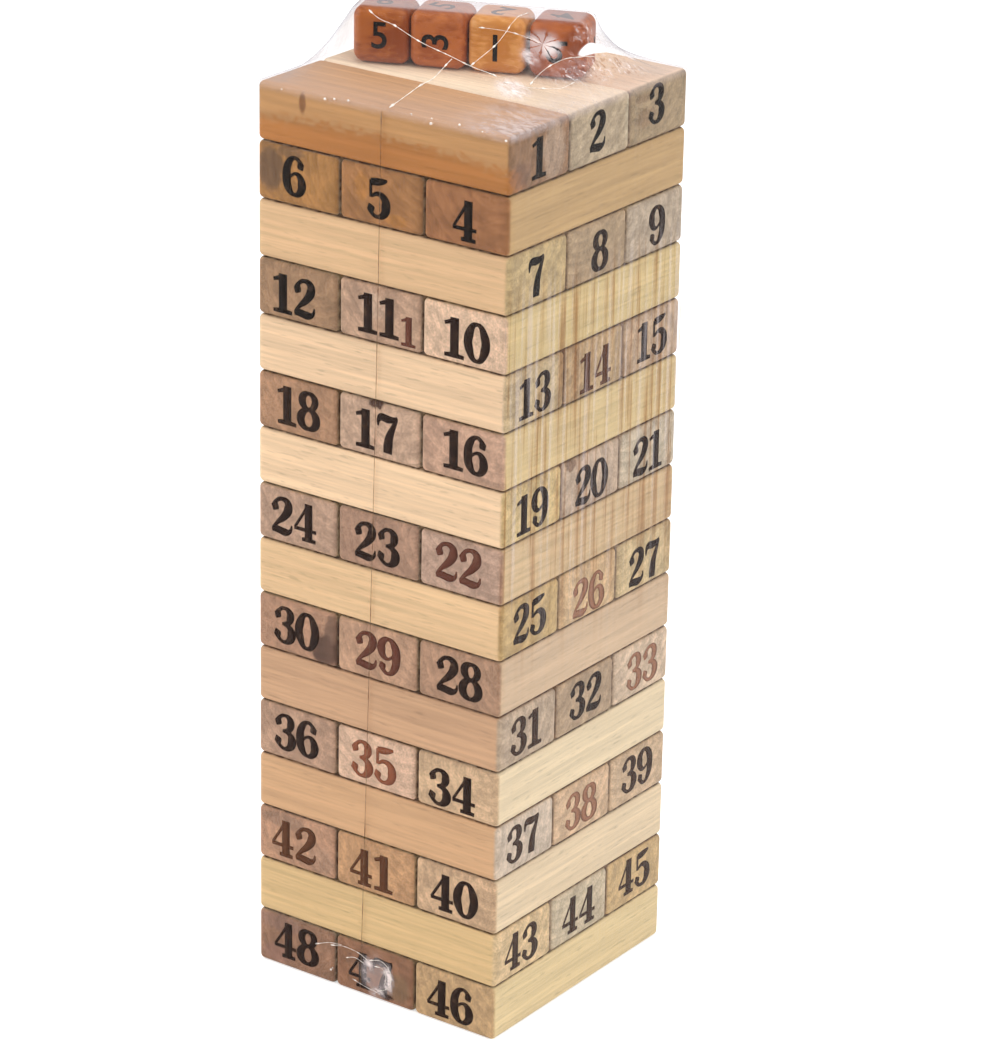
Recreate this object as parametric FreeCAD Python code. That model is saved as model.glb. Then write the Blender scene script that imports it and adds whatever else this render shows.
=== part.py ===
"""Numbered wooden tumbling tower with its four dice, standing in its clear shrink film.

Millimetres.  +Z is up.  The origin is the middle of the tower's footprint, on the surface it stands on.
-Y is the front, where the ends of the even courses show; the ends of the odd courses show on +X.
"""
import FreeCAD, Part
import math
import os

from FreeCAD import Vector

# --- driving dimensions ------------------------------------------------------------------------
blocks_per_course = 3
course_count = 16
block_width = 24.8
block_thickness = 14.7
block_edge_radius = 1.4       # tumbled edges and corners
side_gap = 0.3                # between blocks lying side by side
stack_gap = 0.1               # between courses, so that a block slides without rubbing its neighbours

die_size = 14.2
die_edge_radius = 2.8
die_row_gaps = (0.15, 0.45, 0.95)      # between neighbouring dice, first to last
die_row_turn = 21.7                    # degrees from +X towards +Y
die_row_inset = 3.2                    # from the tower's left side to the first die's corner
die_row_depth = 6.1                    # the row's middle, behind the tower's axis

film_thickness = 0.2
film_clearance = 0.3          # between the film and what it wraps
film_hem_height = 0.5         # the open lower edge, above the surface

# --- sizes that follow ---------------------------------------------------------------------------
block_length = blocks_per_course * block_width + (blocks_per_course - 1) * side_gap
block_pitch = block_width + side_gap
course_pitch = block_thickness + stack_gap
tower_height = course_count * course_pitch - stack_gap
die_base_height = tower_height + stack_gap
die_row_length = (len(die_row_gaps) + 1) * die_size + sum(die_row_gaps)
die_row_angle = math.radians(die_row_turn)
die_row_reach = (die_row_length * math.cos(die_row_angle) + die_size * math.sin(die_row_angle)) / 2
die_row_centre = (die_row_inset + die_row_reach - block_length / 2, die_row_depth)


def rounded_box(length, width, height, radius):
    """A box with its base centred on the origin and every edge and corner rounded."""
    box = Part.makeBox(length, width, height, Vector(-length / 2, -width / 2, 0))
    return box.makeFillet(radius, box.Edges)


def course_blocks(course):
    """Number and solid of each block in a course; course 1 is the top one.

    Odd courses lie along X and count from front to back; even courses lie along Y and count
    from right to left, so the numbers run on round the tower's near right corner.
    """
    along_x = course % 2 == 1
    base_height = (course_count - course) * course_pitch
    for place in range(blocks_per_course):
        number = blocks_per_course * (course - 1) + place + 1
        offset = (place - (blocks_per_course - 1) / 2) * block_pitch
        block = rounded_box(block_length, block_width, block_thickness, block_edge_radius)
        if along_x:
            block.translate(Vector(0, offset, base_height))
        else:
            block.rotate(Vector(0, 0, 0), Vector(0, 0, 1), 90)
            block.translate(Vector(-offset, 0, base_height))
        yield number, block


def row_dice():
    """Number and solid of each die, in a slanting row on the top course."""
    start = (die_size - die_row_length) / 2
    for place in range(len(die_row_gaps) + 1):
        along = start + place * die_size + sum(die_row_gaps[:place])
        die = rounded_box(die_size, die_size, die_size, die_edge_radius)
        die.rotate(Vector(0, 0, 0), Vector(0, 0, 1), die_row_turn)
        die.translate(Vector(die_row_centre[0] + along * math.cos(die_row_angle),
                             die_row_centre[1] + along * math.sin(die_row_angle),
                             die_base_height))
        yield place + 1, die


def rectangle(length, width, centre, turn_degrees, height):
    """Corners of a rectangle at a height, in order seen from above, anticlockwise."""
    turn = math.radians(turn_degrees)
    corners = []
    for x, y in ((-1, -1), (1, -1), (1, 1), (-1, 1)):
        along, across = x * length / 2, y * width / 2
        corners.append(Vector(centre[0] + along * math.cos(turn) - across * math.sin(turn),
                              centre[1] + along * math.sin(turn) + across * math.cos(turn),
                              height))
    return corners


def face_through(points):
    """A flat face with these corners."""
    return Part.Face(Part.makePolygon(points + points[:1]))


def farthest(points, start, end):
    """The point farthest out, square to an edge of an anticlockwise outline."""
    return max(points, key=lambda p: p.x * (end.y - start.y) - p.y * (end.x - start.x))


def tent(foot, crest):
    """The taut solid between two convex outlines: each edge of one reaches to a corner of the other."""
    faces = [face_through(foot), face_through(crest)]
    for here, there in ((foot, crest), (crest, foot)):
        for index, start in enumerate(here):
            end = here[(index + 1) % len(here)]
            faces.append(face_through([start, end, farthest(there, start, end)]))
    return Part.makeSolid(Part.makeShell(faces))


def wrapped_space(clearance, hem_height):
    """All that a cover at this clearance encloses: the square tower, then a tent over the dice."""
    side = block_length + 2 * clearance
    shoulder = tower_height + clearance
    walls = Part.makeBox(side, side, shoulder - hem_height, Vector(-side / 2, -side / 2, hem_height))
    foot = rectangle(side, side, (0, 0), 0, shoulder)
    crest = rectangle(die_row_length + 2 * clearance, die_size + 2 * clearance,
                      die_row_centre, die_row_turn, die_base_height + die_size + clearance)
    return walls.fuse(tent(foot, crest)).removeSplitter()


def shrink_film():
    """The clear film, open at its lower edge."""
    outside = wrapped_space(film_clearance + film_thickness, film_hem_height)
    inside = wrapped_space(film_clearance, film_hem_height - film_thickness)
    return outside.cut(inside)


def write(node, solid):
    """Check a piece and write it to its own file."""
    if len(solid.Solids) != 1 or not solid.isValid():
        raise RuntimeError(node + " is not one sound solid")
    solid.Solids[0].exportStep(os.path.join("parts", node + ".step"))


os.makedirs("parts", exist_ok=True)
for course_number in range(1, course_count + 1):
    for block_number, block_solid in course_blocks(course_number):
        write("block_%02d" % block_number, block_solid)
for die_number, die_solid in row_dice():
    write("die_%d" % die_number, die_solid)
write("shrink_film", shrink_film())
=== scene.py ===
"""Looks for the numbered tumbling tower: wood, printed numbers, dice, film, light and camera."""
import math

import bpy
import numpy as np
from mathutils import Matrix, Vector


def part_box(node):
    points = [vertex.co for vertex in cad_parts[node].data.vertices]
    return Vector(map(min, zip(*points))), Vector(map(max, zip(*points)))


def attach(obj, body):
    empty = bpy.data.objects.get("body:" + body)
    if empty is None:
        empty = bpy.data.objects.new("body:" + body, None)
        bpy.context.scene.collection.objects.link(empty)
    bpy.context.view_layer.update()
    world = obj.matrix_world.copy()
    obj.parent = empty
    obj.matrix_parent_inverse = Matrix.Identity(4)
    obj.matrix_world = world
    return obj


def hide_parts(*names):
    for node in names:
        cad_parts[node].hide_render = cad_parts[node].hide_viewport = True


bl_info = {
    "name": "Numbered tumbling tower",
    "version": (1, 0, 0),
    "blender": (4, 5, 0),
    "location": "3D View > Sidebar > Tower",
    "description": "Finishes the blocks and dice, prints their numbers and draws the film over them",
    "category": "Object",
}

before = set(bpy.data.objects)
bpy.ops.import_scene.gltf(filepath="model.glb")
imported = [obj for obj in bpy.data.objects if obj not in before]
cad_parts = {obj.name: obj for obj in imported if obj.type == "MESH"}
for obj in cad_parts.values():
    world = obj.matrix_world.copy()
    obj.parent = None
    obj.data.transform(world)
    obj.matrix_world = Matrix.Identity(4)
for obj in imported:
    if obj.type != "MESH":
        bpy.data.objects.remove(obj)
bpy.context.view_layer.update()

MM = 0.001
COURSES = 16
PER_COURSE = 3
FILM_NODE = "shrink_film"
BLOCK_LOW, BLOCK_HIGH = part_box("block_01")
BLOCK_LENGTH = BLOCK_HIGH.x - BLOCK_LOW.x
BLOCK_WIDTH = BLOCK_HIGH.y - BLOCK_LOW.y
BLOCK_THICKNESS = BLOCK_HIGH.z - BLOCK_LOW.z
TOWER_TOP = BLOCK_HIGH.z
FILM_LOW, FILM_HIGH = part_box(FILM_NODE)
# The film stands this far off the wood and the dice, and its top face starts at the shoulder.
FILM_GAP = 0.3 * MM
SHOULDER = TOWER_TOP + 0.4 * MM
DICE = ("die_1", "die_2", "die_3", "die_4")

# --- wood tones -------------------------------------------------------------------------
# Long sides, one tone to a course from the top down: the outer block of each course shows it.
SIDE_TONES = (
    "#bb8b59", "#ba996c", "#ddb68a", "#d0b886", "#ecc9a2", "#d2b989", "#f2cfa7", "#cbaf88",
    "#e2bd90", "#ccb091", "#c99f7b", "#e1cca9", "#d2a67c", "#dec7a5", "#ddbb87", "#e0c899",
)
# The two blocks beside the first one show their tops.
SIDE_OVERRIDES = {2: "#ecd5b7", 3: "#e6c6a7"}
# End grain, in block order.
END_TONES = (
    "#8a694e", "#af9b80", "#9d876a", "#996640", "#9f6e42", "#a87742", "#b9a075", "#aa9173",
    "#b29f89", "#dcb99b", "#b7947a", "#9f7c5d", "#bda681", "#b49772", "#b99d80", "#be987f",
    "#c3a187", "#ab8263", "#cab07f", "#bba38c", "#c2b29a", "#b89782", "#ab866e", "#b7957d",
    "#c0a271", "#caaa82", "#c9b188", "#ae886d", "#bc9477", "#af866b", "#b7a088", "#ae9478",
    "#d0b69b", "#ceac88", "#d8b397", "#b49077", "#c9b5a0", "#d1b08e", "#c7aa8a", "#c9a683",
    "#c1946b", "#b78c6f", "#d4b78d", "#c6b498", "#c7a87a", "#c19e74", "#94694e", "#9a735a",
)
# Inks, each with the numbers printed in it: some took the ink badly, and the rest are black.
INK_TONES = {
    "#24140d": (),
    "#120a06": (1, 2, 3, 4, 5, 6, 7, 12),
    "#3d2a20": (31, 37, 39, 43, 44, 45),
    "#63392c": (22, 29),
    "#8a5139": (35,),
    "#9a6d55": (26, 38, 33),
    "#5b3722": (42, 41, 14),
}
BLACK_INK = "#24140d"
FAINT_INK = "#63392c"
WORN_INK = "#8d6b52"
DICE_INK = ("#16100d", "#3a2318")
# Dust in the joints between blocks and painted shade in their gaps: a dark brown.
JOINT_DUST_AND_SHADE = "#3f2214"

# --- numerals ---------------------------------------------------------------------------
# A numeral is drawn as brush strokes on a height of 100: each stroke is closed (True) or open, with
# points of (across, up, half width).
STROKES = {
    "0": ((True, ((35, 95.5, 4.5), (57.5, 67, 11.5), (57.5, 33, 11.5), (35, 4.5, 4.5),
                  (12.5, 33, 11.5), (12.5, 67, 11.5))),),
    "1": ((False, ((34, 0, 11.5), (34, 50, 11.5), (34, 99, 11.5))),
          (False, ((36, 92, 7), (20, 87, 5), (5, 82, 4))),
          (False, ((5, 4.5, 4.5), (34, 6, 6), (62, 4.5, 4.5)))),
    "2": ((False, ((9, 60, 1.5), (14, 70, 11.5), (18, 85, 5), (36, 94.5, 5), (54, 86, 10), (55, 70, 12),
                   (42, 49, 9), (20, 28, 5), (8, 12, 4.5))),
          (False, ((5, 9, 5), (22, 12, 9), (46, 9.5, 9.5), (61, 15, 5), (66, 31, 2)))),
    "3": ((False, ((9, 64, 1.5), (14, 74, 10.5), (19, 87, 5), (36, 95, 4.5), (52, 85, 10), (53, 71, 11),
                   (45, 57, 6.5), (28, 52, 3.5))),
          (False, ((28, 53, 3.5), (48, 48, 7), (57, 33, 12.5), (54, 17, 11), (35, 4.5, 4.5), (18, 12, 5),
                   (13, 25, 11), (8, 36, 1.5)))),
    "4": ((False, ((48, 97, 5), (28, 66, 3.6), (6, 31, 3.6))),
          (False, ((4, 30, 4.5), (38, 30, 4.5), (72, 30, 4.5))),
          (False, ((48, 99, 11), (48, 50, 11), (48, 3, 11))),
          (False, ((28, 4.5, 4.5), (48, 5.5, 5.5), (70, 4.5, 4.5)))),
    "5": ((False, ((13, 88, 8), (32, 90, 9), (48, 93, 7), (61, 97, 3))),
          (False, ((13, 92, 4), (13, 72, 4), (13, 50, 4))),
          (False, ((14, 52, 3.5), (34, 61, 5.5), (54, 50, 10), (57.5, 31, 12.5), (52, 14, 9.5),
                   (34, 4.5, 4.5), (17, 11, 5), (13, 23, 11), (8, 34, 1.5)))),
    "6": ((False, ((61, 68, 1.5), (55, 77, 10.5), (50, 89, 5.5), (36, 95.5, 4.5), (18, 79, 9.5),
                   (12.5, 50, 12), (17, 21, 11), (36, 4.5, 4.5), (54, 15, 9.5), (58, 32, 12),
                   (52, 50, 8.5), (38, 57, 4), (22, 46, 3))),),
    "7": ((False, ((8, 66, 2), (9, 80, 5), (16, 89, 9), (36, 88, 9.5), (54, 90, 7), (65, 97, 3))),
          (False, ((63, 94, 4.5), (52, 68, 7), (42, 44, 10.5), (38, 20, 12.5), (37, 1, 11.5)))),
    "8": ((True, ((36, 95.5, 4.5), (54, 84, 9.5), (53, 67, 9), (36, 55, 4.5), (18, 68, 10.5),
                  (18, 84, 10))),
          (True, ((36, 54, 4.5), (57, 38, 11), (57, 18, 10.5), (36, 4.5, 4.5), (14, 18, 11),
                  (14, 37, 11)))),
}
NUMERAL_WIDTH = dict(zip("0123456789", (69, 62, 68, 69, 73, 70, 70, 67, 69, 70)))
# The 9 is the 6 turned about the middle of this box.
SIX_BOX = (70, 100)
# How far a brush stroke spreads past its drawn half width.
STROKE_SPREAD = 1.1
# Capital height of the dice's plain typeface as a share of its size, and how much it is thickened.
CAPITAL_SHARE = 0.72
THICKENED = 0.018


# --- sizes and colours that a user would change -----------------------------------------
class TowerWood(bpy.types.PropertyGroup):
    """Growth and finish of the wood."""

    ring_spacing: bpy.props.FloatProperty(
        name="Ring spacing", description="Width of one year's growth, in mm", default=2.6)
    fibre_width: bpy.props.FloatProperty(
        name="Fibre width", description="Width of a streak along the grain, in mm", default=0.9)
    pore_size: bpy.props.FloatProperty(
        name="Pore size", description="Size of a fleck in the end grain, in mm", default=0.55)
    roughness: bpy.props.FloatProperty(
        name="Roughness", description="How matt the sanded wood is", default=0.62, subtype="FACTOR")


class TowerPrint(bpy.types.PropertyGroup):
    """The numbers printed on the ends of the blocks and the faces of the dice."""

    height: bpy.props.FloatProperty(
        name="Numeral height", description="Height of a number on a block",
        default=10.2 * MM, unit="LENGTH")
    spacing: bpy.props.FloatProperty(
        name="Numeral spacing", description="Gap between two numerals",
        default=0.15 * MM, unit="LENGTH")
    ink_height: bpy.props.FloatProperty(
        name="Ink height", description="How far the ink stands off the wood",
        default=0.03 * MM, unit="LENGTH")
    die_height: bpy.props.FloatProperty(
        name="Die numeral height", description="Height of a number on a die",
        default=6.8 * MM, unit="LENGTH")


class TowerFilm(bpy.types.PropertyGroup):
    """The clear film drawn over the tower."""

    corner_radius: bpy.props.FloatProperty(
        name="Corner radius", description="How tightly the film turns an edge",
        default=1.3 * MM, unit="LENGTH")
    sag: bpy.props.FloatProperty(
        name="Sag", description="0 is drawn straight from edge to edge, 1 hangs in as a soap film does",
        default=1.4)
    left_sag: bpy.props.FloatProperty(
        name="Left sag", description="The same near the dice on the left, where the film is tighter",
        default=0.5)
    wrinkle_height: bpy.props.FloatProperty(
        name="Wrinkle height", description="Height of the upright wrinkles",
        default=0.2 * MM, unit="LENGTH")
    haze: bpy.props.FloatProperty(
        name="Haze", description="How milky the film is on the sides",
        default=0.002, subtype="FACTOR")
    top_haze: bpy.props.FloatProperty(
        name="Top haze", description="How milky the film is over the top",
        default=0.19, subtype="FACTOR")


class TowerStage(bpy.types.PropertyGroup):
    """Floor and camera."""

    floor_colour: bpy.props.StringProperty(
        name="Floor colour", description="sRGB hex colour of the floor", default="#f7f7f7")
    azimuth: bpy.props.FloatProperty(
        name="Azimuth", description="Camera's turn round the tower from the front",
        default=math.radians(35.19), subtype="ANGLE")
    elevation: bpy.props.FloatProperty(
        name="Elevation", description="Camera's height as an angle",
        default=math.radians(21.77), subtype="ANGLE")
    roll: bpy.props.FloatProperty(
        name="Roll", description="Camera's tilt about its own line of sight",
        default=math.radians(1.12), subtype="ANGLE")
    distance: bpy.props.FloatProperty(
        name="Distance", description="Camera to aim point", default=1.1155, unit="LENGTH")
    lens: bpy.props.FloatProperty(
        name="Lens", description="Focal length in mm on a 36 mm sensor", default=153.2)
    aim_right: bpy.props.FloatProperty(
        name="Aim right", description="Aim point, to the right of the tower's axis",
        default=8.29 * MM, unit="LENGTH")
    aim_height: bpy.props.FloatProperty(
        name="Aim height", description="Aim point, above the floor", default=0.12, unit="LENGTH")


# --- small helpers ----------------------------------------------------------------------
def linear(colour):
    """An sRGB hex colour as linear RGBA."""
    parts = [int(colour[i:i + 2], 16) / 255 for i in (1, 3, 5)]
    return [c / 12.92 if c <= 0.04045 else ((c + 0.055) / 1.055) ** 2.4 for c in parts] + [1.0]


def add(tree, kind, inputs=None, **settings):
    """A shader node with its settings.

    Its inputs are given by socket, or as a row for the first sockets; each is a value, another node
    or one of that node's sockets.
    """
    made = tree.nodes.new("ShaderNode" + kind)
    for key, value in settings.items():
        setattr(made, key, value)
    inputs = inputs or {}
    if isinstance(inputs, tuple):
        inputs = dict(enumerate(inputs))
    for socket, value in inputs.items():
        if isinstance(value, bpy.types.Node):
            value = value.outputs[0]
        if isinstance(value, bpy.types.NodeSocket):
            tree.links.new(value, made.inputs[socket])
        else:
            made.inputs[socket].default_value = value
    return made


def empty_material(name):
    """A new node material with nothing in it, and its tree."""
    material = bpy.data.materials.new(name)
    material.use_nodes = True
    material.node_tree.nodes.clear()
    return material, material.node_tree


def deselect():
    """Nothing selected and nothing in edit mode."""
    if bpy.context.object and bpy.context.object.mode != "OBJECT":
        bpy.ops.object.mode_set(mode="OBJECT")
    bpy.ops.object.select_all(action="DESELECT")


def select(objects):
    """Only these objects selected, the first one active."""
    deselect()
    for piece in objects:
        piece.select_set(True)
    bpy.context.view_layer.objects.active = objects[0]


def coat(piece, finish):
    """This finish and no other on a piece."""
    piece.data.materials.clear()
    piece.data.materials.append(finish)


def twin(piece):
    """A copy with its own mesh."""
    made = piece.copy()
    made.data = piece.data.copy()
    bpy.context.scene.collection.objects.link(made)
    return made


def bare_curve(half_width):
    """An empty curve that becomes a tube of this half width, square in section with closed ends."""
    deselect()
    bpy.ops.curve.primitive_bezier_curve_add(location=(0, 0, 0))
    data = bpy.context.object.data
    data.dimensions = "3D"
    data.splines.clear()
    data.bevel_depth = half_width
    data.bevel_resolution = 0
    data.use_fill_caps = True
    return data


def join(name, objects):
    """One object from several, at the origin with its place in its mesh."""
    select(objects)
    if len(objects) > 1:
        bpy.ops.object.join()
    bpy.ops.object.transform_apply(location=True, rotation=True, scale=True)
    piece = bpy.context.object
    piece.name = name
    piece.data.name = name
    return piece


def facing(outward, centre):
    """Matrix that lays a flat drawing on a face, its up along +Z, or along +Y on a level face."""
    outward = Vector(outward).normalized()
    up = Vector((0, 0, 1)) if abs(outward.z) < 0.5 else Vector((0, 1, 0))
    across = up.cross(outward)
    turn = Matrix((across, up, outward)).transposed().to_4x4()
    return Matrix.Translation(centre) @ turn


def course_of(number):
    return (number - 1) // PER_COURSE + 1


def along_x(number):
    """True where the block lies along X."""
    return course_of(number) % 2 == 1


def tone_of(tones, number, default):
    """The colour whose list holds this block."""
    for colour, numbers in tones.items():
        if number in numbers:
            return colour
    return default


# --- finishes ---------------------------------------------------------------------------
EASED = {"interpolation_type": "SMOOTHSTEP"}
TIMES = {"operation": "MULTIPLY"}
PLUS = {"operation": "ADD"}
LARGER = {"operation": "MAXIMUM"}
TIMES_PLUS = {"operation": "MULTIPLY_ADD"}
COLOURS = {"data_type": "RGBA"}


def wood_coordinates(tree, node, turn=0):
    """Object coordinates in mm from a piece's middle, turned so that the grain lies along the first."""
    low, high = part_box(node)
    centre = (low + high) / 2 / MM
    centre.rotate(Matrix.Rotation(turn, 3, "Z"))
    place = add(tree, "TexCoord").outputs["Object"]
    return add(tree, "Mapping", {
        "Vector": place, "Location": -centre, "Rotation": (0, 0, turn), "Scale": (1 / MM,) * 3})


def shading(tree, *layers):
    """One brightness from several patterns, each eased between a darkest and a brightest value."""
    shade = 1.0
    for pattern, low, high, darkest, brightest in layers:
        eased = add(tree, "MapRange", (pattern, low, high, darkest, brightest), **EASED)
        shade = add(tree, "Math", (shade, eased), **TIMES)
    return shade


def dusty_joints(tree, number, local, from_end, moved):
    """Dust and painted shade: how far they darken the rounded arrises where a block meets its
    neighbours.
    """
    half_width, half_height = BLOCK_WIDTH / 2 / MM, BLOCK_THICKNESS / 2 / MM
    split = add(tree, "SeparateXYZ", (local,)).outputs
    across = add(tree, "Math", (split[1],), operation="ABSOLUTE")
    upward = add(tree, "Math", (split[2],), operation="ABSOLUTE")
    from_side = add(tree, "Math", (across, -1.0, half_width), **TIMES_PLUS)
    towards = (-1, None, 1)[(number - 1) % PER_COURSE]
    beside = from_side
    if towards:
        beside = add(tree, "Math", (split[1], towards, half_width), **TIMES_PLUS)
    above = add(tree, "Math", (upward, -1.0, half_height), **TIMES_PLUS)
    if number <= PER_COURSE:
        above = add(tree, "Math", (split[2], 1.0, half_height), **TIMES_PLUS)
    at_end = add(tree, "MapRange", (from_end, 1.0, 2.0, 1.0, 0.0), **EASED)
    joint = add(tree, "MapRange", (beside, 0.0, 0.55, 1.0, 0.0), **EASED)
    joint = add(tree, "Math", (joint, at_end), **TIMES)
    rim = add(tree, "Math", (from_end, from_side), operation="MINIMUM")
    rim = add(tree, "MapRange", (rim, 1.0, 2.0, 1.0, 0.0), **EASED)
    bed = add(tree, "MapRange", (above, 0.05, 0.4, 1.0, 0.0), **EASED)
    bed = add(tree, "Math", (bed, rim), **TIMES)
    corner = add(tree, "Math", (beside, above), **PLUS)
    corner = add(tree, "MapRange", (corner, 0.7, 1.5, 1.0, 0.0), **EASED)
    corner = add(tree, "Math", (corner, at_end), **TIMES)
    seam = add(tree, "Math", (joint, bed), **LARGER)
    seam = add(tree, "Math", (seam, corner), **LARGER)
    uneven = add(tree, "TexNoise", {"Vector": moved, "Scale": 0.5})
    uneven = add(tree, "MapRange", (uneven, 0.3, 0.65, 0.45, 0.95), **EASED)
    return add(tree, "Math", (seam, uneven), **TIMES)


def bare_softwood(name, number, side, end, marks=()):
    """Sanded softwood with no finish: faint streaks along the sides, darker flecked end grain."""
    wood = bpy.context.scene.tower_wood
    material, tree = empty_material(name)
    seed = number * 0.61
    local = wood_coordinates(tree, "block_%02d" % number, 0 if along_x(number) else -math.pi / 2)
    moved = add(tree, "VectorMath", (local, (37.0 * seed, 11.0 * seed, 23.0 * seed)))
    fibres = add(tree, "Mapping", {"Vector": moved, "Scale": (0.03, 1, 1)})
    fine = add(tree, "TexNoise", {
        "Vector": fibres, "Scale": 1 / wood.fibre_width, "Detail": 4.0, "Roughness": 0.65})
    figure = add(tree, "TexNoise", {"Vector": fibres, "Scale": 0.2, "Detail": 3.0})
    dashes_at = add(tree, "Mapping", {"Vector": moved, "Scale": (0.25, 2.2, 2.2)})
    dashes = add(tree, "TexNoise", {"Vector": dashes_at, "Scale": 0.8, "Detail": 2.0})
    pith = (0, 14 + 9 * math.sin(2.3 * seed), -16 + 11 * math.sin(3.7 * seed))
    rings_at = add(tree, "Mapping", {"Vector": local, "Location": pith, "Scale": (0.06, 1, 1)})
    rings = add(tree, "TexWave", {
        "Vector": rings_at, "Scale": 0.314 / wood.ring_spacing, "Distortion": 1.1,
        "Detail": 2.0, "Detail Scale": 0.5, "Phase Offset": 1.7 * seed,
    }, wave_type="RINGS", rings_direction="X", wave_profile="SAW").outputs["Fac"]
    flecks = add(tree, "TexNoise", {
        "Vector": moved, "Scale": 1 / wood.pore_size, "Detail": 3.0, "Roughness": 0.7})
    mottle = add(tree, "TexNoise", {"Vector": moved, "Scale": 0.25, "Detail": 4.0, "Roughness": 0.6})

    side_shade = shading(tree, (fine, 0.32, 0.68, 0.89, 1.07), (rings, 0.0, 1.0, 0.97, 1.02),
                         (figure, 0.35, 0.65, 0.94, 1.05), (dashes, 0.6, 0.72, 1.0, 0.8))
    end_shade = shading(tree, (flecks, 0.3, 0.7, 0.8, 1.16), (rings, 0.0, 1.0, 0.9, 1.06),
                        (mottle, 0.35, 0.68, 0.8, 1.16))
    along = add(tree, "SeparateXYZ", (local,)).outputs[0]
    along = add(tree, "Math", (along,), operation="ABSOLUTE")
    from_end = add(tree, "Math", (along, -1.0, BLOCK_LENGTH / 2 / MM), **TIMES_PLUS)
    on_end = add(tree, "MapRange", (from_end, 0.3, 1.2, 1.0, 0.0), **EASED)
    shade = add(tree, "Mix", {0: on_end, 2: side_shade, 3: end_shade})
    colour = add(tree, "Mix", {0: on_end, 6: linear(side), 7: linear(end)}, **COLOURS).outputs[2]
    if marks:
        wander = add(tree, "TexNoise", {"Vector": moved, "Scale": 0.7, "Detail": 4.0}).outputs["Color"]
        wander = add(tree, "VectorMath", (wander, (-0.5,) * 3))
    for centre, size, tone, strength in marks:
        ragged = add(tree, "VectorMath", (wander, (1.2 * min(size),) * 3, local), **TIMES_PLUS)
        away = add(tree, "Mapping", {
            "Vector": ragged, "Location": centre, "Scale": size}, vector_type="TEXTURE")
        away = add(tree, "VectorMath", (away,), operation="LENGTH").outputs["Value"]
        cover = add(tree, "MapRange", (away, 0.6, 1.0, strength, 0.0), **EASED)
        colour = add(tree, "Mix", {0: cover, 6: colour, 7: linear(tone)}, **COLOURS).outputs[2]
    colour = add(tree, "HueSaturation", {"Value": shade, "Color": colour})
    # Dust and painted shade darken the arrises where the blocks meet.
    dust_and_shade = dusty_joints(tree, number, local, from_end, moved)
    colour = add(tree, "Mix", {0: dust_and_shade, 6: colour, 7: linear(JOINT_DUST_AND_SHADE)}, **COLOURS).outputs[2]
    relief = add(tree, "Mix", {0: on_end, 2: fine, 3: flecks})
    bump = add(tree, "Bump", {"Height": relief, "Strength": 0.3, "Distance": 0.12 * MM})
    shader = add(tree, "BsdfPrincipled", {
        "Base Color": colour, "Roughness": wood.roughness, "IOR": 1.5,
        "Specular IOR Level": 0.2, "Normal": bump})
    add(tree, "OutputMaterial", {"Surface": shader})
    return material


def varnished_wood(name, node, tone, dark, seed):
    """Stained wood under clear varnish: warm brown, streaked, with a smooth coat over the grain."""
    material, tree = empty_material(name)
    local = wood_coordinates(tree, node)
    moved = add(tree, "VectorMath", (local, (31.0 * seed, 17.0 * seed, 5.0 * seed)))
    fibres = add(tree, "Mapping", {"Vector": moved, "Scale": (0.12, 0.9, 1)})
    streak = add(tree, "TexNoise", {"Vector": fibres, "Scale": 0.8, "Detail": 4.0, "Roughness": 0.6})
    blotch = add(tree, "TexNoise", {"Vector": moved, "Scale": 0.16, "Detail": 2.0})
    mixed = add(tree, "Math", (streak, blotch), **PLUS)
    mixed = add(tree, "MapRange", (mixed, 0.8, 1.2, 0.0, 1.0), **EASED)
    colour = add(tree, "Mix", {0: mixed, 6: linear(dark), 7: linear(tone)}, **COLOURS).outputs[2]
    bump = add(tree, "Bump", {"Height": streak, "Strength": 0.1, "Distance": 0.08 * MM})
    shader = add(tree, "BsdfPrincipled", {
        "Base Color": colour, "Roughness": 0.45, "IOR": 1.5, "Specular IOR Level": 0.15,
        "Coat Weight": 0.12, "Coat Roughness": 0.16, "Normal": bump})
    add(tree, "OutputMaterial", {"Surface": shader})
    return material


def stamping_ink(name, tone, worn):
    """Stamped ink soaked into end grain: matt, blotchy, thinner in patches."""
    material, tree = empty_material(name)
    place = add(tree, "TexCoord").outputs["Object"]
    blotch = add(tree, "TexNoise", {
        "Vector": place, "Scale": 1 / (1.6 * MM), "Detail": 4.0, "Roughness": 0.7})
    cover = add(tree, "MapRange", (blotch, 0.5, 0.8, 0.0, 0.35), **EASED)
    colour = add(tree, "Mix", {0: cover, 6: linear(tone), 7: linear(worn)}, **COLOURS).outputs[2]
    shader = add(tree, "BsdfPrincipled", {
        "Base Color": colour, "Roughness": 0.8, "Specular IOR Level": 0.05})
    add(tree, "OutputMaterial", {"Surface": shader})
    return material


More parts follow.
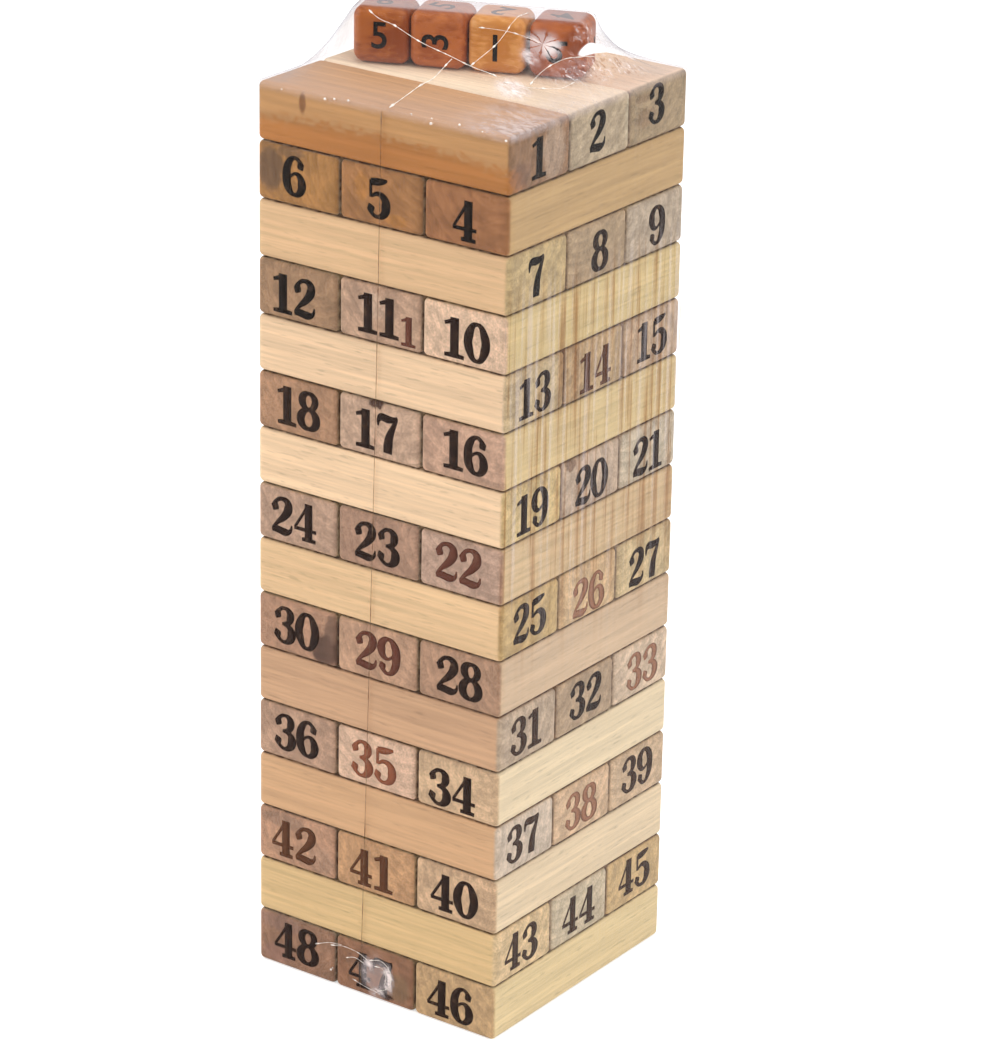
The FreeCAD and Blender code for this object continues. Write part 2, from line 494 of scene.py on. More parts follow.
def star_of_folds(tree, millimetres):
    """A white patch of gathered film over the last die, cut by clear lines that meet at a point; its
    white also stands for the glare there, a painted highlight.
    """
    centre, reach = FILM_STAR
    wander = add(tree, "TexNoise", {"Vector": millimetres, "Scale": 0.3, "Detail": 3.0})
    split = add(tree, "SeparateXYZ", (millimetres,)).outputs
    across = add(tree, "Math", (split[0], -centre[0]), **PLUS)
    along = add(tree, "Math", (split[1], -centre[1]), **PLUS)
    angle = add(tree, "Math", (along, across), operation="ARCTAN2")
    angle = add(tree, "Math", (wander, 0.8, angle), **TIMES_PLUS)
    petals = add(tree, "Math", (angle, 4.0), **TIMES)
    petals = add(tree, "Math", (petals,), operation="SINE")
    petals = add(tree, "Math", (petals,), operation="ABSOLUTE")
    petals = add(tree, "MapRange", (petals, 0.05, 0.42, 0.0, 1.0), **EASED)
    broad = add(tree, "Math", (angle, 1.5, 0.6), **TIMES_PLUS)
    broad = add(tree, "Math", (broad,), operation="SINE")
    broad = add(tree, "MapRange", (broad, -1.0, 0.7, 0.5, 1.0), **EASED)
    flat = add(tree, "CombineXYZ", (across, along))
    away = add(tree, "VectorMath", (flat,), operation="LENGTH").outputs["Value"]
    away = add(tree, "Math", (wander, 2.4, away), **TIMES_PLUS)
    near = add(tree, "MapRange", (away, reach, reach + 3.4, 0.7, 0.0), **EASED)
    petals = add(tree, "Math", (petals, broad), **TIMES)
    return add(tree, "Math", (near, petals), **TIMES)


def clear_film():
    """Polyolefin shrink film: clear and glossy, turned white where it is wrinkled or crumpled, with
    painted
    highlights and reflections: glare, glints, and pale and brown streaks on the wrinkles.
    """
    material, tree = empty_material("clear_polyolefin_film")
    place = add(tree, "TexCoord").outputs["Object"]
    millimetres = add(tree, "Mapping", {"Vector": place, "Scale": (1 / MM,) * 3})
    upright = add(tree, "Mapping", {"Vector": millimetres, "Scale": (1, 1, 0.025)})
    streak = add(tree, "TexNoise", {"Vector": upright, "Scale": 0.55, "Detail": 3.0, "Roughness": 0.55})
    drawn_out = add(tree, "Mapping", {
        "Vector": millimetres, "Rotation": (0, 0, math.radians(-35)), "Scale": (0.5, 1, 1)})
    crumple = add(tree, "TexNoise", {
        "Vector": drawn_out, "Scale": 0.85, "Detail": 3.0, "Distortion": 0.9})
    cloud = add(tree, "TexNoise", {"Vector": drawn_out, "Scale": 0.6, "Detail": 4.0, "Roughness": 0.6})
    cloud = add(tree, "MapRange", (cloud, 0.36, 0.62, 0.15, 1.5), **EASED)
    painted = {}
    for name in ("hazed", "whitened_and_glare", "crumpled", "streaked"):
        painted[name] = add(tree, "Attribute", attribute_name=name).outputs["Fac"]
    # Painted reflections on the upright wrinkles: pale streaks are painted highlights, brown streaks a
    # painted coloured reflection.
    pale = add(tree, "MapRange", (streak, 0.52, 0.66, 0.0, 0.22), **EASED)
    pale = add(tree, "Math", (pale, painted["streaked"]), **TIMES)
    dull = add(tree, "MapRange", (streak, 0.36, 0.48, 0.6, 0.0), **EASED)
    dull = add(tree, "Math", (dull, painted["streaked"]), **TIMES)
    # Where the film is crumpled: white glints are painted highlights, and brown specks tint what shows
    # through.
    glints = add(tree, "MapRange", (crumple, 0.55, 0.68, 0.0, 0.6), **EASED)
    glints = add(tree, "Math", (glints, painted["crumpled"]), **TIMES)
    brown = add(tree, "MapRange", (crumple, 0.36, 0.47, 0.85, 0.0), **EASED)
    brown = add(tree, "Math", (brown, painted["crumpled"]), **TIMES)
    dull = add(tree, "Math", (dull, brown), **LARGER)
    star = star_of_folds(tree, millimetres)
    # A painted highlight: a white oval of lamp glare on the film beside the last die.
    centre, size, turn = FILM_PAINTED_GLARE
    painted_glare = add(tree, "Mapping", {
        "Vector": millimetres, "Location": (*centre, 0), "Rotation": (0, 0, math.radians(turn)),
        "Scale": (*size, 1e6)}, vector_type="TEXTURE")
    painted_glare = add(tree, "VectorMath", (painted_glare,), operation="LENGTH").outputs["Value"]
    painted_glare = add(tree, "MapRange", (painted_glare, 0.8, 1.05, 0.9, 0.0), **EASED)
    white = add(tree, "Math", (painted["whitened_and_glare"], cloud, glints), **TIMES_PLUS)
    white = add(tree, "Math", (white, star), **LARGER)
    white = add(tree, "Math", (white, painted_glare), **LARGER)
    milky = add(tree, "Math", (pale, painted["hazed"]), **PLUS)
    milky = add(tree, "Math", (milky, white), operation="ADD", use_clamp=True)
    relief = add(tree, "Mix", {0: painted["crumpled"], 2: streak, 3: crumple})
    bump = add(tree, "Bump", {"Height": relief, "Strength": 0.6, "Distance": 0.35 * MM})
    facing_away = add(tree, "LayerWeight", {"Blend": 0.5, "Normal": bump}).outputs["Facing"]
    steep = add(tree, "Math", (facing_away, 4.0), operation="POWER")
    # The brown of the painted streaks and of the crumples tints what shows through the film.
    tint = add(tree, "Mix", {0: dull, 6: linear("#fdfdfd"), 7: linear("#b98a55")}, **COLOURS).outputs[2]
    tint = add(tree, "Mix", {0: steep, 6: tint, 7: linear("#b9b6bd")}, **COLOURS).outputs[2]
    through = add(tree, "BsdfTransparent", {"Color": tint})
    veil = add(tree, "Mix", {0: white, 6: linear("#e6d9da"), 7: linear("#fff1ec")}, **COLOURS).outputs[2]
    # The painted highlight turns the veil pure white.
    veil = add(tree, "Mix", {0: painted_glare, 6: veil, 7: linear("#ffffff")}, **COLOURS).outputs[2]
    veil = add(tree, "BsdfDiffuse", {"Color": veil})
    gloss = add(tree, "BsdfGlossy", {"Color": linear("#ffffff"), "Roughness": 0.07, "Normal": bump})
    mirror = add(tree, "Math", (steep, 0.3, 0.006), **TIMES_PLUS)
    body = add(tree, "MixShader", (milky, through, veil))
    shader = add(tree, "MixShader", (mirror, body, gloss))
    add(tree, "OutputMaterial", {"Surface": shader})
    return material


def welded_film():
    """The same film where it is welded or folded on itself: milky, almost white."""
    material, tree = empty_material("welded_polyolefin_film")
    place = add(tree, "TexCoord").outputs["Object"]
    pips = add(tree, "TexNoise", {"Vector": place, "Scale": 1 / (1.1 * MM), "Detail": 2.0})
    cover = add(tree, "MapRange", (pips, 0.3, 0.6, 0.35, 1.0), **EASED)
    through = add(tree, "BsdfTransparent")
    white = add(tree, "BsdfPrincipled", {"Base Color": linear("#fbf3ea"), "Roughness": 0.25})
    shader = add(tree, "MixShader", (cover, through, white))
    add(tree, "OutputMaterial", {"Surface": shader})
    return material


def seam_film():
    """The weld where it lies flat on the wood: a thin line that only dulls what is under it."""
    material, tree = empty_material("flat_film_weld")
    place = add(tree, "TexCoord").outputs["Object"]
    dots = add(tree, "TexNoise", {"Vector": place, "Scale": 1 / (0.9 * MM), "Detail": 2.0})
    cover = add(tree, "MapRange", (dots, 0.3, 0.7, 0.1, 0.5), **EASED)
    through = add(tree, "BsdfTransparent", {"Color": linear("#c5a683")})
    dull = add(tree, "BsdfPrincipled", {"Base Color": linear("#b79a7b"), "Roughness": 0.3})
    shader = add(tree, "MixShader", (cover, through, dull))
    add(tree, "OutputMaterial", {"Surface": shader})
    return material


# --- pieces -----------------------------------------------------------------------------
# Knots, stains and chips, and on block 2 a painted highlight: block number, then centre from the
# block's middle and half size in mm (along the grain, across, up), colour, strength.
MARKS = {
    1: (
        ((0, -12.4, -4.9), (60, 9, 6.6), "#b07035", 0.9),
        ((-23.6, -12.4, 4.2), (1.2, 2.5, 3.4), "#6d3f20", 0.75),
        ((37.5, 5.5, 0), (3, 5.5, 9), "#b8a08a", 0.55),
        ((37.5, -8, -3), (3, 5, 4), "#76584a", 0.5),
    ),
    # Block 2: a pale line on its end beside block 3, a painted highlight on the rounded arris.
    2: (((37.5, 11.6, 1), (2, 1.6, 8), "#ccc2a6", 0.3),),
    3: (((37.5, -6, -1), (2, 5, 3), "#7d624a", 0.6), ((37.5, -7, 4), (2, 5, 1.4), "#7d624a", 0.5)),
    5: (((-37.5, 5.5, 2), (2, 2.6, 4.4), "#b87a35", 0.5),
        ((-37.5, -4.5, -5), (2, 4, 2), "#b87a35", 0.45)),
    6: (((-37.5, 8.4, 1), (2, 5, 7), "#5d4635", 0.8), ((-37.5, 2, 6), (2, 5, 2), "#6b523f", 0.55)),
    11: (((-37.5, 2, 2), (2, 5, 4), "#d8b99f", 0.5),),
    17: (((-37.5, 1, 7), (2, 3, 1.8), "#43261a", 0.95),),
    20: (((37.5, -9, 6), (2, 2.6, 2), "#6f523f", 0.8),),
    30: (((-37.5, -9, -3.4), (3, 5.4, 5.6), "#5a3f31", 0.95),
         ((-37.5, -11, 2.5), (3, 2.6, 5), "#6e5141", 0.8)),
    42: (((-37.5, 4, 5), (2, 9, 2.5), "#8b6f5d", 0.55), ((-37.5, -8, -3), (2, 5, 5), "#9b7d68", 0.45)),
    47: (((-37.5, -8, -2), (2, 4, 5), "#8a6f52", 0.6), ((-37.5, 3, 1), (2, 8, 2), "#7e604c", 0.55),
         ((-37.5, -4, -5.4), (2, 2.6, 1.2), "#2d1308", 0.95)),
    48: (((-37.5, 5, 5), (2, 9, 3), "#8b6c60", 0.5), ((-37.5, 6, -4), (2, 6, 3), "#a3786a", 0.5)),
}


class TOWER_OT_finish_blocks(bpy.types.Operator):
    """Give every block its own piece of softwood"""

    bl_idname = "tower.finish_blocks"
    bl_label = "Finish blocks"

    def execute(self, context):
        for number in range(1, COURSES * PER_COURSE + 1):
            node = "block_%02d" % number
            course = course_of(number)
            place = (number - 1) % PER_COURSE
            side = SIDE_OVERRIDES.get(number, SIDE_TONES[(course - 1 + 6 * place) % COURSES])
            finish = bare_softwood(
                "softwood_%02d" % number, number, side, END_TONES[number - 1], MARKS.get(number, ()))
            coat(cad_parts[node], finish)
        return {"FINISHED"}


def numeral_meshes(height, ink_height):
    """One flat mesh for each numeral, its foot on the origin."""
    unit = height / 100
    made = {}
    for numeral, strokes in STROKES.items():
        data = bare_curve(unit)
        for closed, points in strokes:
            spline = data.splines.new("BEZIER")
            spline.bezier_points.add(len(points) - 1)
            spline.use_cyclic_u = closed
            for knot, (across, up, half_width) in zip(spline.bezier_points, points):
                knot.co = (across * unit, up * unit, 0)
                knot.handle_left_type = knot.handle_right_type = "AUTO"
                knot.radius = half_width * STROKE_SPREAD
        data.resolution_u = 5
        bpy.ops.object.convert(target="MESH")
        glyph = bpy.context.object
        widest = max(abs(v.co.z) for v in glyph.data.vertices)
        glyph.scale = (1, 1, ink_height / widest)
        bpy.ops.object.transform_apply(location=True, rotation=True, scale=True)
        made[numeral] = glyph
    nine = twin(made["6"])
    nine.rotation_euler = (0, 0, math.pi)
    nine.location = (SIX_BOX[0] * unit, SIX_BOX[1] * unit, 0)
    made["9"] = join("nine", [nine])
    return made


def lay_number(glyphs, text, height, spacing, onto):
    """Copies of the numerals of one number, centred on a face."""
    unit = height / 100
    widths = [NUMERAL_WIDTH[c] * unit for c in text]
    total = sum(widths) + spacing * (len(text) - 1)
    pen = -total / 2
    laid = []
    for numeral, width in zip(text, widths):
        piece = twin(glyphs[numeral])
        piece.matrix_world = onto @ Matrix.Translation((pen, -height / 2, 0))
        pen += width + spacing
        laid.append(piece)
    return laid


# How far each stamp missed the middle of its face, in block order: (across, up) in mm.
STAMP_SHIFTS = (
    (-0.8, -0.3), (-1.7, 0.4), (-1.5, 1.5), (-0.5, -0.7), (-0.7, -0.3), (-1.0, 0.2),
    (-1.0, -0.1), (0.8, -0.5), (0.5, -0.3), (0.5, -0.7), (-0.6, -0.1), (-1.2, -0.7),
    (-0.3, -0.4), (0.2, -0.9), (-0.2, 0.1), (0.8, 0.4), (-0.8, -0.3), (0.2, 0.0),
    (-0.3, -0.6), (-0.3, -0.8), (-0.5, -0.8), (-0.8, 0.6), (-0.4, -0.2), (-1.1, 0.0),
    (-0.4, 0.4), (-0.1, -1.2), (-0.5, -0.9), (0.0, 0.3), (0.2, 0.3), (-0.4, 0.2),
    (-0.8, 0.0), (-0.2, 0.6), (0.2, -0.2), (-1.6, -1.0), (-0.8, -0.1), (-0.2, 0.3),
    (-1.3, 0.4), (-0.8, -0.2), (-0.6, 0.7), (-0.6, -0.1), (-1.3, -0.6), (-1.1, -0.1),
    (-1.0, 0.0), (-0.6, -0.1), (-0.4, 0.7), (-1.2, -0.4), (-1.3, -0.3), (-0.2, 0.5),
)
# A second strike that caught block 11 low on the right: numeral, height, across and up in mm.
MISPRINT = ("1", 7.6, 8.5, -2.3)


class TOWER_OT_print_block_numbers(bpy.types.Operator):
    """Stamp each block's number on both its ends"""

    bl_idname = "tower.print_block_numbers"
    bl_label = "Print block numbers"

    def execute(self, context):
        settings = context.scene.tower_print
        inks = {tone: stamping_ink("stamping_ink_" + tone[1:], tone, WORN_INK) for tone in INK_TONES}
        glyphs = numeral_meshes(settings.height, settings.ink_height)
        for number in range(1, COURSES * PER_COURSE + 1):
            node = "block_%02d" % number
            low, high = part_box(node)
            middle = (low + high) / 2
            ends = ((1, 0, 0), (-1, 0, 0)) if along_x(number) else ((0, -1, 0), (0, 1, 0))
            across, up = STAMP_SHIFTS[number - 1]
            shift = Matrix.Translation((across * MM, up * MM, 0))
            laid = []
            for outward in ends:
                centre = middle + Vector(outward) * BLOCK_LENGTH / 2
                onto = facing(outward, centre) @ shift
                laid += lay_number(glyphs, str(number), settings.height, settings.spacing, onto)
            piece = join("number_%02d" % number, laid)
            coat(piece, inks[tone_of(INK_TONES, number, BLACK_INK)])
            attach(piece, node)
        self.print_misprint(glyphs, settings, inks[FAINT_INK])
        for glyph in glyphs.values():
            bpy.data.objects.remove(glyph)
        return {"FINISHED"}

    def print_misprint(self, glyphs, settings, ink):
        numeral, height, across, up = MISPRINT
        low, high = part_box("block_11")
        centre = Vector(((low.x + high.x) / 2, low.y, (low.z + high.z) / 2))
        onto = facing((0, -1, 0), centre) @ Matrix.Translation((across * MM, up * MM, 0))
        smaller = Matrix.Scale(height * MM / settings.height, 4)
        laid = lay_number(glyphs, numeral, settings.height, 0, onto @ smaller)
        piece = join("number_11_misprint", laid)
        coat(piece, ink)
        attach(piece, "block_11")


# Each die's numbers on its front, right, top, back, left and underside, with the front one's turn.
DIE_FACES = {
    "die_1": ("536241", 0),
    "die_2": ("315462", 90),
    "die_3": ("142635", 180),
    "die_4": ("634152", -35),
}
DIE_TONES = {
    "die_1": ("#ab5f26", "#8a4214"),
    "die_2": ("#b86a35", "#994e20"),
    "die_3": ("#dd9f5c", "#c47f3a"),
    "die_4": ("#b0602f", "#8f4418"),
}


def dice_row():
    """Middles of the dice in order, the direction of their row and the size of one."""
    boxes = [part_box(name) for name in DICE]
    middles = [(low + high) / 2 for low, high in boxes]
    return middles, (middles[-1] - middles[0]).normalized(), boxes[0][1].z - boxes[0][0].z


class TOWER_OT_finish_dice(bpy.types.Operator):
    """Varnish the dice and print a number on each face"""

    bl_idname = "tower.finish_dice"
    bl_label = "Finish dice"

    def execute(self, context):
        settings = context.scene.tower_print
        ink = stamping_ink("stamping_ink_dice", *DICE_INK)
        middles, row, size = dice_row()
        up = Vector((0, 0, 1))
        front = row.cross(up)
        for index, node in enumerate(DICE):
            tone, dark = DIE_TONES[node]
            finish = varnished_wood("varnished_" + node, node, tone, dark, 0.7 + index)
            coat(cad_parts[node], finish)
            numbers, turn = DIE_FACES[node]
            laid = []
            for numeral, outward in zip(numbers, (front, row, up, -front, -row, -up)):
                deselect()
                bpy.ops.object.text_add(location=(0, 0, 0))
                text = bpy.context.object
                text.data.body = numeral
                text.data.align_x = "CENTER"
                text.data.align_y = "CENTER"
                text.data.size = settings.die_height / CAPITAL_SHARE
                text.data.offset = THICKENED * settings.die_height
                text.data.extrude = settings.ink_height
                text.data.resolution_u = 4
                bpy.ops.object.convert(target="MESH")
                spin = Matrix.Rotation(math.radians(turn if outward is front else 90 * index), 4, "Z")
                centre = middles[index] + outward * size / 2
                bpy.context.object.matrix_world = facing(outward, centre) @ spin
                laid.append(bpy.context.object)
            piece = join(node + "_numbers", laid)
            coat(piece, ink)
            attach(piece, node)
        return {"FINISHED"}


# --- film -------------------------------------------------------------------------------
def dice_crest():
    """Corners of the film's flat top over the dice, seen from above, anticlockwise."""
    middles, row, size = dice_row()
    half = size / 2 + FILM_GAP
    along, across = row * half, Vector((-row.y, row.x, 0)) * half
    start, end = middles[0] - along, middles[-1] + along
    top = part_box(DICE[0])[1].z + FILM_GAP
    corners = (start - across, end - across, end + across, start + across)
    return [Vector((corner.x, corner.y, top)) for corner in corners]


def tent_planes(foot, crest):
    """The flat faces drawn between two outlines, as (slope x, slope y, height) each."""
    planes = []
    for here, there in ((foot, crest), (crest, foot)):
        for index, start in enumerate(here):
            end = here[(index + 1) % len(here)]
            far = max(there, key=lambda p: p.x * (end.y - start.y) - p.y * (end.x - start.x))
            normal = (end - start).cross(far - start)
            if abs(normal.z) > 1e-9:
                level = normal.dot(start) / normal.z
                planes.append((-normal.x / normal.z, -normal.y / normal.z, level))
    return planes


# How the film turns over the dice's edges, and how long it is left to settle as a soap film would.
DICE_ROUNDING = 2.4 * MM
SETTLING_PASSES = 1500
FILM_GRID = 152


class FilmTop:
    """Height of the film over the top course and the dice, on a square grid."""

    def __init__(self, half, cells, sag, left_sag):
        self.half = half
        self.cells = cells
        line = np.linspace(-half, half, cells + 1)
        x, y = np.meshgrid(line, line, indexing="ij")
        floor = np.full_like(x, TOWER_TOP + FILM_GAP)
        crest = dice_crest()
        corners = ((-half, -half), (half, -half), (half, half), (-half, half))
        foot = [Vector((*corner, floor[0, 0])) for corner in corners]
        straight = np.full_like(x, crest[0].z)
        for slope_x, slope_y, height in tent_planes(foot, crest):
            straight = np.minimum(straight, slope_x * x + slope_y * y + height)
        held = floor.copy()
        middle = (crest[0] + crest[2]) / 2
        row = (crest[1] - crest[0]).normalized()
        along = abs((x - middle.x) * row.x + (y - middle.y) * row.y)
        across = abs((y - middle.y) * row.x - (x - middle.x) * row.y)
        long_half = (crest[1] - crest[0]).length / 2
        wide_half = (crest[2] - crest[1]).length / 2
        past_end = np.maximum(along - long_half + DICE_ROUNDING, 0)
        past_side = np.maximum(across - wide_half + DICE_ROUNDING, 0)
        past = np.hypot(past_end, past_side)
        drop = DICE_ROUNDING - np.sqrt(np.maximum(DICE_ROUNDING ** 2 - past ** 2, 0))
        on_dice = past < DICE_ROUNDING
        held[on_dice] = (crest[0].z - drop)[on_dice]
        soap = straight.copy()
        for _ in range(SETTLING_PASSES):
            soap[1:-1, 1:-1] = (soap[2:, 1:-1] + soap[:-2, 1:-1] + soap[1:-1, 2:] + soap[1:-1, :-2]) / 4
            soap[1:-1, 1:-1] = np.maximum(soap, held)[1:-1, 1:-1]
        rise = np.clip((straight - floor) / (crest[0].z - floor), 0, 1)
        left = np.clip((10 * MM - x) / (30 * MM), 0, 1)
        share = sag - (sag - left_sag) * rise ** 1.5 * left
        self.grid = np.maximum(np.maximum(straight * (1 - share) + soap * share, held), floor)

    def height(self, x, y):
        """Height at a place in plan."""
        u = min(max((x + self.half) / (2 * self.half) * self.cells, 0), self.cells - 1e-6)
        v = min(max((y + self.half) / (2 * self.half) * self.cells, 0), self.cells - 1e-6)
        i, j = int(u), int(v)
        a, b = u - i, v - j
        g = self.grid
        return (g[i, j] * (1 - a) * (1 - b) + g[i + 1, j] * a * (1 - b)
                + g[i, j + 1] * (1 - a) * b + g[i + 1, j + 1] * a * b)


def ridges(run, height):
    """Height of a row of narrow upright wrinkles, by the distance along a side in mm."""
    total = 0
    for spacing, phase, share in ((2.9, 0.4, 0.5), (4.3, 2.1, 0.35), (6.9, 1.1, 0.35)):
        wave = math.sin(math.pi * run / spacing + phase + 0.6 * math.sin(0.13 * run + phase))
        total += share * (1 - abs(wave)) ** 2
    return height * total


def window(value, low, high, soft):
    """1 between two limits, easing to 0 outside them."""
    rise = min(max((value - low) / soft + 1, 0), 1)
    fall = min(max((high - value) / soft + 1, 0), 1)
    return rise * rise * (3 - 2 * rise) * fall * fall * (3 - 2 * fall)


# Where the film over the top is not clear, its white partly a painted highlight for glare: centre and
# half size in plan in mm, turn in degrees, how crumpled, how white, how hazy.
FILM_PATCHES = (
    ((23.6, -17.3), (4.4, 4.6), -35, 0.5, 0.42, 0.3),
    ((19.4, -4.6), (2.2, 3.4), 48, 0.3, 0.4, 0.25),
    ((24.2, 12.0), (2.0, 4.4), -15, 1.0, 0.1, 0.0),
    ((28.8, 3.6), (4.2, 12.0), -14, 1.0, 0.12, 0.05),
    ((31.8, 17.5), (3.6, 8.0), -12, 1.0, 0.12, 0.05),
    ((28.7, 24.7), (1.0, 1.8), 0, 0.5, 0.6, 0.2),
    ((-34.0, -2.0), (5.5, 12.0), -30, 0.0, 0.0, 0.3),
    ((36.0, -31.0), (14.0, 14.0), 0, 0.03, 0.2, 0.24),
    ((34.5, -8.0), (6.0, 24.0), 0, 0.05, 0.1, 0.1),
)
# A painted highlight on the film to the right of the last die, a smooth oval white as the lamp:
# centre, half size, turn in degrees.
FILM_PAINTED_GLARE = ((26.95, 11.0), (1.05, 4.9), -12)
# Milkiness where the film lies flat on the dice.
DICE_HAZE = 0.36
# Upright wrinkles on the right: lowest and highest level, each with how softly it fades, in mm.
WRINKLED = ((145, 60), (188, 16))
# A ring of loose film on the front, low down: centre across and up, and radius, in mm, and how much
# wider it is than high.
FILM_RING = ((1.2, 7.2), 4.3)
RING_SQUASH = 1.1
# The star of folds and painted glare over the last die: centre and reach in plan in mm.
FILM_STAR = ((18.9, 1.5), 3.4)


class TOWER_OT_draw_film(bpy.types.Operator):
    """Draw the clear film over the tower and the dice"""

    bl_idname = "tower.draw_film"
    bl_label = "Draw film"

    cuts = 119

    def execute(self, context):
        settings = context.scene.tower_film
        side = FILM_HIGH.x - FILM_LOW.x
        bottom, shoulder = FILM_LOW.z, SHOULDER
        deselect()
        bpy.ops.mesh.primitive_cube_add(size=1, location=(0, 0, 0))
        film = bpy.context.object
        film.name = "clear_film"
        film.scale = (side, side, shoulder - bottom)
        film.location = (0, 0, (shoulder + bottom) / 2)
        bpy.ops.object.transform_apply(location=True, rotation=True, scale=True)
        bpy.ops.object.mode_set(mode="EDIT")
        bpy.ops.mesh.select_all(action="DESELECT")
        bpy.ops.object.mode_set(mode="OBJECT")
        for face in film.data.polygons:
            face.select = face.normal.z < -0.5
        bpy.ops.object.mode_set(mode="EDIT")
        bpy.ops.mesh.select_mode(type="FACE")
        bpy.ops.mesh.delete(type="FACE")
        bpy.ops.mesh.select_all(action="SELECT")
        bpy.ops.mesh.subdivide(number_cuts=self.cuts)
        bpy.ops.object.mode_set(mode="OBJECT")
        top = FilmTop(side / 2, FILM_GRID, settings.sag, settings.left_sag)
        radius = settings.corner_radius
        core = side / 2 - radius
        low_edge = shoulder - radius
        finish = {name: [] for name in ("hazed", "whitened_and_glare", "crumpled", "streaked")}
        crest = FILM_HIGH.z - shoulder
        for vertex in film.data.vertices:
            place = vertex.co.copy()
            on_top = place.z > shoulder - 1e-6
            inner = Vector((max(-core, min(core, place.x)), max(-core, min(core, place.y))))
            outer = Vector((place.x, place.y)) - inner
            lift = max(place.z - low_edge, 0)
            crumpled = whitened_and_glare = streaked = 0.0
            hazed = settings.haze
            if on_top:
                # Their white is partly film turned white, partly a painted highlight for glare.
                for centre, size, turn, crumple, milk, haze in FILM_PATCHES:
                    away = Vector((place.x / MM - centre[0], place.y / MM - centre[1]))
                    away.rotate(Matrix.Rotation(math.radians(-turn), 2))
                    near = window(math.hypot(away.x / size[0], away.y / size[1]), -1, 0.1, 1.3)
                    crumpled = max(crumpled, crumple * near)
                    whitened_and_glare = max(whitened_and_glare, milk * near)
                    hazed = max(hazed, haze * near)
                rise = top.height(place.x, place.y) - shoulder
                place.z += rise
                climb = rise / crest
                level = settings.top_haze * (1 - climb) ** 3 + DICE_HAZE * window(climb, 0.992, 2, 0.02)
                hazed = max(hazed, level)
            elif place.x > core:
                (start, ease_in), (end, ease_out) = WRINKLED
                streaked = window(place.z / MM, start, 900, ease_in)
                streaked *= window(place.z / MM, -900, end, ease_out)
                place.x += ridges(place.y / MM, settings.wrinkle_height) * streaked
            elif place.y < -core:
                (across, up), ring = FILM_RING
                away = math.hypot(place.x / MM - across, RING_SQUASH * (place.z / MM - up))
                near = window(away, ring - 0.5, ring + 0.5, 0.9)
                whitened_and_glare = 0.5 * near * window(place.x / MM, -1.0, 99, 3.0)
                hazed = max(hazed, 0.2 * window(away, -1, ring, 2.0))
            if outer.length > 1e-9:
                reach = Vector((outer.x, outer.y, lift))
                reach *= max(abs(outer.x), abs(outer.y), lift) / reach.length
                place.x += inner.x + reach.x - vertex.co.x
                place.y += inner.y + reach.y - vertex.co.y
                place.z += min(lift, reach.z) - lift
            vertex.co = place
            for name, value in zip(finish, (hazed, whitened_and_glare, crumpled, streaked)):
                finish[name].append(value)
        for name, values in finish.items():
            painted = film.data.attributes.new(name, "FLOAT", "POINT")
            painted.data.foreach_set("value", values)
        film.data.update()
        film.data.materials.append(clear_film())
        select([film])
        bpy.ops.object.shade_smooth()
        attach(film, FILM_NODE)
        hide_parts(FILM_NODE)
        fold_film(top, side / 2)
        return {"FINISHED"}


# Lines pressed into the film over the top: width, then points in plan, in mm.
FILM_CREASES = (
    (0.24, ((-24.5, -10.2), (-19.9, -11.7), (-15.1, -12.1), (-5.6, -14.6), (4.0, -16.0), (11.4, -16.9),
            (18.3, -16.5))),
    (0.22, ((10.9, -16.7), (10.9, -7.4), (9.7, -0.6), (8.8, 3.0), (8.7, 9.9))),
    (0.28, ((2.4, -37.5), (3.2, -34.1), (3.9, -30.5), (4.4, -27.9), (5.5, -25.0), (5.6, -22.3),
            (5.3, -16.8))),
    (0.16, ((3.2, -3.0), (9.0, -0.8), (12.7, 0.1), (18.1, 1.0))),
    (0.22, ((25.3, -12.6), (24.5, -9.1), (24.0, -3.5), (24.7, 2.0), (26.3, 6.0), (28.4, 9.7))),
    (0.18, ((20.8, -17.2), (25.6, -13.9), (29.2, -7.0), (30.2, -1.2))),
)
# Curls of loose film on the front, low down: (x, z) in mm.
FILM_CURLS = (
    ((-1.0, 11.0), (2.6, 11.9), (5.2, 10.2), (5.9, 7.2), (4.6, 4.6), (2.2, 3.2)),
    ((0.6, 9.8), (3.0, 9.9), (4.2, 8.0), (3.9, 5.6)),
    ((-13.5, 11.5), (-9.0, 12.4), (-4.6, 12.0), (-1.6, 10.8)),
    ((-18.5, 10.2), (-14.0, 12.0), (-10.0, 12.6)),
    ((-6.4, 4.0), (-2.0, 3.0), (2.4, 2.4)),
    ((-8.5, 9.4), (-5.8, 10.3), (-2.8, 9.6)),
)
# White specks along the front edge where the film shows glints, painted highlights:
# (x, z, size) in mm.
FILM_GLINTS = (
    (-16.4, 236.1, 0.4), (-13.7, 236.5, 0.3), (-9.7, 236.8, 0.34), (8.8, 236.9, 0.24),
    (14.7, 236.9, 0.28), (15.0, 235.9, 0.42), (22.8, 236.9, 0.34), (36.6, 235.8, 0.36),
    (-29.5, 236.0, 0.2), (29.6, 236.6, 0.22), (-13.4, 4.4, 0.34), (-12.9, 5.0, 0.22),
)
# The weld down the front: (x, z) in mm, from under the top edge to the foot.
FILM_WELD = ((0.4, TOWER_TOP / MM - 0.6), (-0.6, 160), (-2.6, 60), (-4.0, 1.2))
WELD_WIDTH = 0.22 * MM
CURL_WIDTH = 0.2 * MM
# How far folds, specks and the weld stand off the film they lie on.
FOLD_LIFT = 0.12 * MM
SPECK_LIFT = 0.05 * MM
WELD_LIFT = 0.02 * MM


